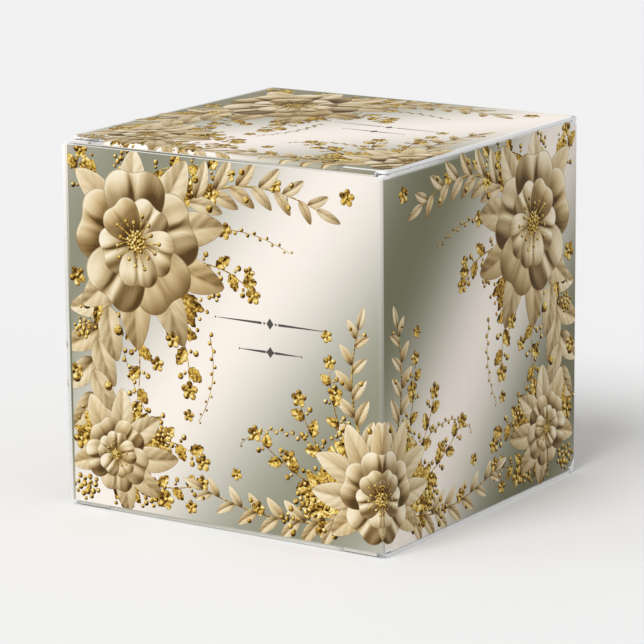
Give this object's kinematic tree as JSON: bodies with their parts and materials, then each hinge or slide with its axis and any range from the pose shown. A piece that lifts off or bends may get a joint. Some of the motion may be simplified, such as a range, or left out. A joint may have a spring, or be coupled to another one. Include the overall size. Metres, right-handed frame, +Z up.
{
  "type": "favor box",
  "caption": "Cube folding carton for a party favor: glued paperboard tube closed by a hinged lid and base with slit-locked tuck flaps and dust flaps.",
  "frame": {"origin": "centre of the base's outer face, on the surface that the box stands on", "axes": "+Z up through the lid, -Y out of the front panel, +X out of the right panel"},
  "size_m": [0.0508, 0.0508, 0.0508],
  "materials": {
    "printed_board": "satin print, sage to champagne",
    "bare_board": "matte white, unprinted",
    "adhesive": "dried white glue"
  },
  "bodies": {
    "carton": {"front_panel": "printed_board", "right_panel": "printed_board", "back_panel": "printed_board", "left_panel": "printed_board", "glue_flap": "bare_board", "glue_line": "adhesive"},
    "lid": {"lid_panel": "printed_board"},
    "lid_tuck": {"lid_tuck_flap": "printed_board"},
    "lid_dust_left": {"lid_dust_flap_left": "bare_board"},
    "lid_dust_right": {"lid_dust_flap_right": "bare_board"},
    "base": {"base_panel": "printed_board"},
    "base_tuck": {"base_tuck_flap": "printed_board"},
    "base_dust_left": {"base_dust_flap_left": "bare_board"},
    "base_dust_right": {"base_dust_flap_right": "bare_board"}
  },
  "joints": [
    {"name": "lid_hinge", "type": "hinge", "parent": "carton", "child": "lid", "pos_m": [0, 0.02485, 0.05025], "axis": [-1, 0, 0], "range_deg": [0, 180]},
    {"name": "lid_tuck_crease", "type": "hinge", "parent": "lid", "child": "lid_tuck", "pos_m": [0, -0.02424, 0.05025], "axis": [1, 0, 0], "range_deg": [0, 27]},
    {"name": "lid_dust_left_crease", "type": "hinge", "parent": "carton", "child": "lid_dust_left", "pos_m": [-0.02485, 0, 0.04969], "axis": [0, -1, 0], "range_deg": [0, 90]},
    {"name": "lid_dust_right_crease", "type": "hinge", "parent": "carton", "child": "lid_dust_right", "pos_m": [0.02485, 0, 0.04969], "axis": [0, 1, 0], "range_deg": [0, 90]},
    {"name": "base_hinge", "type": "hinge", "parent": "carton", "child": "base", "pos_m": [0, 0.02485, 0.00055], "axis": [1, 0, 0], "range_deg": [0, 180]},
    {"name": "base_tuck_crease", "type": "hinge", "parent": "base", "child": "base_tuck", "pos_m": [0, -0.02424, 0.00055], "axis": [-1, 0, 0], "range_deg": [0, 27]},
    {"name": "base_dust_left_crease", "type": "hinge", "parent": "carton", "child": "base_dust_left", "pos_m": [-0.02485, 0, 0.00111], "axis": [0, 1, 0], "range_deg": [0, 90]},
    {"name": "base_dust_right_crease", "type": "hinge", "parent": "carton", "child": "base_dust_right", "pos_m": [0.02485, 0, 0.00111], "axis": [0, -1, 0], "range_deg": [0, 90]}
  ],
  "couplings": [
    {"joint": "lid_tuck_crease", "follows": "lid_hinge", "ratio": 0.15},
    {"joint": "lid_dust_left_crease", "follows": "lid_hinge", "ratio": 0.5},
    {"joint": "lid_dust_right_crease", "follows": "lid_hinge", "ratio": 0.5},
    {"joint": "base_tuck_crease", "follows": "base_hinge", "ratio": 0.15},
    {"joint": "base_dust_left_crease", "follows": "base_hinge", "ratio": 0.5},
    {"joint": "base_dust_right_crease", "follows": "base_hinge", "ratio": 0.5}
  ]
}
